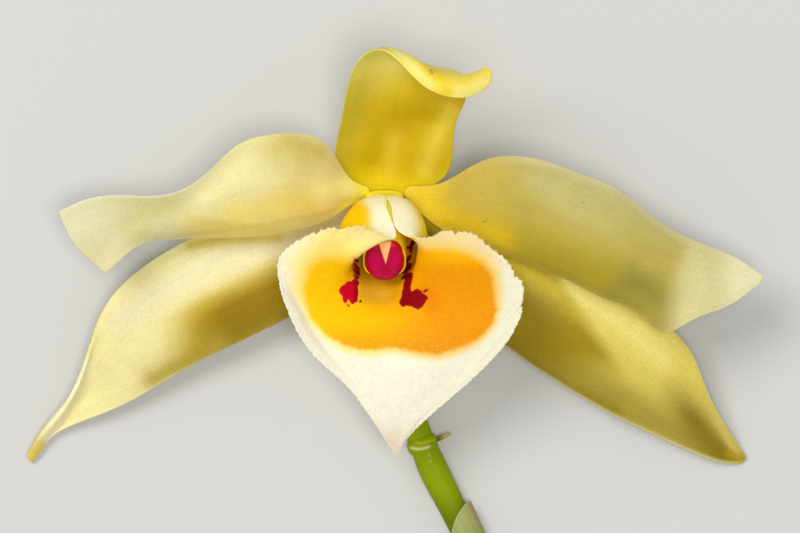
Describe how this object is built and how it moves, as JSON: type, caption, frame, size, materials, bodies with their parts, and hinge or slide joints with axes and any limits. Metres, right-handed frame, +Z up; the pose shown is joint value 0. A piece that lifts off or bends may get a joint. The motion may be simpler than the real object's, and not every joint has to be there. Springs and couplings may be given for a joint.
{
  "type": "orchid bloom",
  "caption": "Cut aphrodite dendrobium orchid bloom lying on its back: spreading sepals and petals round a toothed heart-shaped lip, on a short stem.",
  "frame": {"origin": "centre of the bloom's outline, on the surface it lies on", "axes": "+X across the bloom from its left petal to its right, +Y from the lip's tip up to the dorsal sepal, +Z up from the surface towards the bloom's face"},
  "size_m": [0.0652, 0.0572, 0.022],
  "materials": {
    "dorsal_sepal": "satin",
    "petal": "satin",
    "lateral_sepal": "satin",
    "lip": "velvety",
    "column": "satin",
    "anther_cap": "satin",
    "stem": "satin",
    "dry_scale": "matt"
  },
  "bodies": {
    "root": {"dorsal_sepal": "dorsal_sepal", "left_petal": "petal", "right_petal": "petal", "left_sepal": "lateral_sepal", "right_sepal": "lateral_sepal", "lip": "lip", "column": "column", "anther_cap": "anther_cap", "pedicel": "stem", "stem": "stem", "bract": "dry_scale", "sheath": "dry_scale"}
  },
  "joints": []
}
